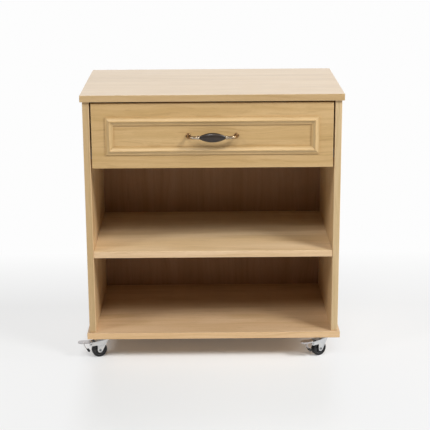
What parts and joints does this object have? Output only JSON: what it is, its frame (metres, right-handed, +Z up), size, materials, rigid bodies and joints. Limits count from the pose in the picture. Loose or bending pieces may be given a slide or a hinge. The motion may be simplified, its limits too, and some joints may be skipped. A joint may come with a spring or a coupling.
{
  "type": "waiter service station",
  "caption": "Oak-look service cabinet on swivel casters, with a framed drawer under an overhanging worktop and open bays above and below a fixed shelf.",
  "frame": {"origin": "floor, under the middle of the whole footprint with the handle and the pedals counted", "axes": "+Z up, +X to the right of someone facing the drawer, -Y out of the front, where the drawer opens"},
  "size_m": [0.729, 0.4568, 0.7465],
  "materials": {
    "oak_laminate": "satin oak-look laminate with a fine printed grain and matching edge band",
    "drawer_board": "pale matt melamine board",
    "runner_enamel": "off-white epoxy enamel on rolled steel",
    "roller_nylon": "natural nylon",
    "handle_brass": "aged brass with a silvery bloom",
    "handle_pewter": "dark pewter, polished on the swell",
    "zinc_plate": "bright zinc plating on pressed sheet",
    "rivet_steel": "plain steel, slightly oiled",
    "wheel_plastic": "moulded dark grey polypropylene",
    "tyre_rubber": "black rubber, scuffed on the tread"
  },
  "bodies": {
    "cabinet": {"top_panel": "oak_laminate", "bottom_panel": "oak_laminate", "left_side_panel": "oak_laminate", "right_side_panel": "oak_laminate", "middle_shelf": "oak_laminate", "back_panel": "oak_laminate", "left_cabinet_runner": "runner_enamel", "right_cabinet_runner": "runner_enamel", "front_left_caster_plate": "zinc_plate", "front_left_kingpin": "rivet_steel", "front_left_ball_ring": "rivet_steel", "front_right_caster_plate": "zinc_plate", "front_right_kingpin": "rivet_steel", "front_right_ball_ring": "rivet_steel", "rear_left_caster_plate": "zinc_plate", "rear_left_kingpin": "rivet_steel", "rear_left_ball_ring": "rivet_steel", "rear_right_caster_plate": "zinc_plate", "rear_right_kingpin": "rivet_steel", "rear_right_ball_ring": "rivet_steel"},
    "drawer": {"drawer_front": "oak_laminate", "moulding_bottom": "oak_laminate", "moulding_right": "oak_laminate", "moulding_top": "oak_laminate", "moulding_left": "oak_laminate", "drawer_box_left": "drawer_board", "drawer_box_right": "drawer_board", "drawer_box_front": "drawer_board", "drawer_box_back": "drawer_board", "drawer_box_bottom": "drawer_board", "left_drawer_runner": "runner_enamel", "right_drawer_runner": "runner_enamel", "handle_left_arm": "handle_brass", "handle_right_arm": "handle_brass", "handle_grip": "handle_pewter"},
    "left_front_roller": {"left_front_roller": "roller_nylon"},
    "right_front_roller": {"right_front_roller": "roller_nylon"},
    "left_rear_roller": {"left_rear_roller": "roller_nylon"},
    "right_rear_roller": {"right_rear_roller": "roller_nylon"},
    "front_left_caster": {"front_left_fork": "zinc_plate", "front_left_axle": "rivet_steel", "front_left_brake_pin": "rivet_steel"},
    "front_left_wheel": {"front_left_wheel_core": "wheel_plastic", "front_left_tyre": "tyre_rubber"},
    "front_left_brake": {"front_left_brake_pedal": "zinc_plate"},
    "front_right_caster": {"front_right_fork": "zinc_plate", "front_right_axle": "rivet_steel", "front_right_brake_pin": "rivet_steel"},
    "front_right_wheel": {"front_right_wheel_core": "wheel_plastic", "front_right_tyre": "tyre_rubber"},
    "front_right_brake": {"front_right_brake_pedal": "zinc_plate"},
    "rear_left_caster": {"rear_left_fork": "zinc_plate", "rear_left_axle": "rivet_steel"},
    "rear_left_wheel": {"rear_left_wheel_core": "wheel_plastic", "rear_left_tyre": "tyre_rubber"},
    "rear_right_caster": {"rear_right_fork": "zinc_plate", "rear_right_axle": "rivet_steel"},
    "rear_right_wheel": {"rear_right_wheel_core": "wheel_plastic", "rear_right_tyre": "tyre_rubber"}
  },
  "joints": [
    {"name": "drawer_slide", "type": "slide", "parent": "cabinet", "child": "drawer", "axis": [0, -1, 0], "range_m": [0, 0.27]},
    {"name": "left_front_roller_spin", "type": "hinge", "parent": "cabinet", "child": "left_front_roller", "pos_m": [-0.30672, -0.1606, 0.582], "axis": [1, 0, 0], "continuous": true},
    {"name": "right_front_roller_spin", "type": "hinge", "parent": "cabinet", "child": "right_front_roller", "pos_m": [0.33568, -0.1606, 0.582], "axis": [1, 0, 0], "continuous": true},
    {"name": "left_rear_roller_spin", "type": "hinge", "parent": "drawer", "child": "left_rear_roller", "pos_m": [-0.30382, 0.1614, 0.579], "axis": [1, 0, 0], "continuous": true},
    {"name": "right_rear_roller_spin", "type": "hinge", "parent": "drawer", "child": "right_rear_roller", "pos_m": [0.33278, 0.1614, 0.579], "axis": [1, 0, 0], "continuous": true},
    {"name": "front_left_swivel", "type": "hinge", "parent": "cabinet", "child": "front_left_caster", "pos_m": [-0.29252, -0.1616, 0.0625], "axis": [0, 0, 1], "continuous": true},
    {"name": "front_left_wheel_spin", "type": "hinge", "parent": "front_left_caster", "child": "front_left_wheel", "pos_m": [-0.3067, -0.16648, 0.021], "axis": [0.3256, -0.9455, 0], "continuous": true},
    {"name": "front_left_brake_press", "type": "hinge", "parent": "front_left_caster", "child": "front_left_brake", "pos_m": [-0.3311, -0.17488, 0.041], "axis": [0.3256, -0.9455, 0], "range_deg": [0, 16]},
    {"name": "front_right_swivel", "type": "hinge", "parent": "cabinet", "child": "front_right_caster", "pos_m": [0.32148, -0.1616, 0.0625], "axis": [0, 0, 1], "continuous": true},
    {"name": "front_right_wheel_spin", "type": "hinge", "parent": "front_right_caster", "child": "front_right_wheel", "pos_m": [0.30876, -0.16955, 0.021], "axis": [0.5299, -0.848, 0], "continuous": true},
    {"name": "front_right_brake_press", "type": "hinge", "parent": "front_right_caster", "child": "front_right_brake", "pos_m": [0.28688, -0.18322, 0.041], "axis": [0.5299, -0.848, 0], "range_deg": [0, 16]},
    {"name": "rear_left_swivel", "type": "hinge", "parent": "cabinet", "child": "rear_left_caster", "pos_m": [-0.29252, 0.1884, 0.0625], "axis": [0, 0, 1], "continuous": true},
    {"name": "rear_left_wheel_spin", "type": "hinge", "parent": "rear_left_caster", "child": "rear_left_wheel", "pos_m": [-0.30622, 0.1823, 0.021], "axis": [0.4067, -0.9135, 0], "continuous": true},
    {"name": "rear_right_swivel", "type": "hinge", "parent": "cabinet", "child": "rear_right_caster", "pos_m": [0.32148, 0.1884, 0.0625], "axis": [0, 0, 1], "continuous": true},
    {"name": "rear_right_wheel_spin", "type": "hinge", "parent": "rear_right_caster", "child": "rear_right_wheel", "pos_m": [0.30681, 0.18528, 0.021], "axis": [0.2079, -0.9781, 0], "continuous": true}
  ],
  "couplings": [
    {"joint": "left_front_roller_spin", "follows": "drawer_slide", "rad_per_m": 125},
    {"joint": "right_front_roller_spin", "follows": "drawer_slide", "rad_per_m": 125},
    {"joint": "left_rear_roller_spin", "follows": "drawer_slide", "rad_per_m": 125},
    {"joint": "right_rear_roller_spin", "follows": "drawer_slide", "rad_per_m": 125}
  ]
}
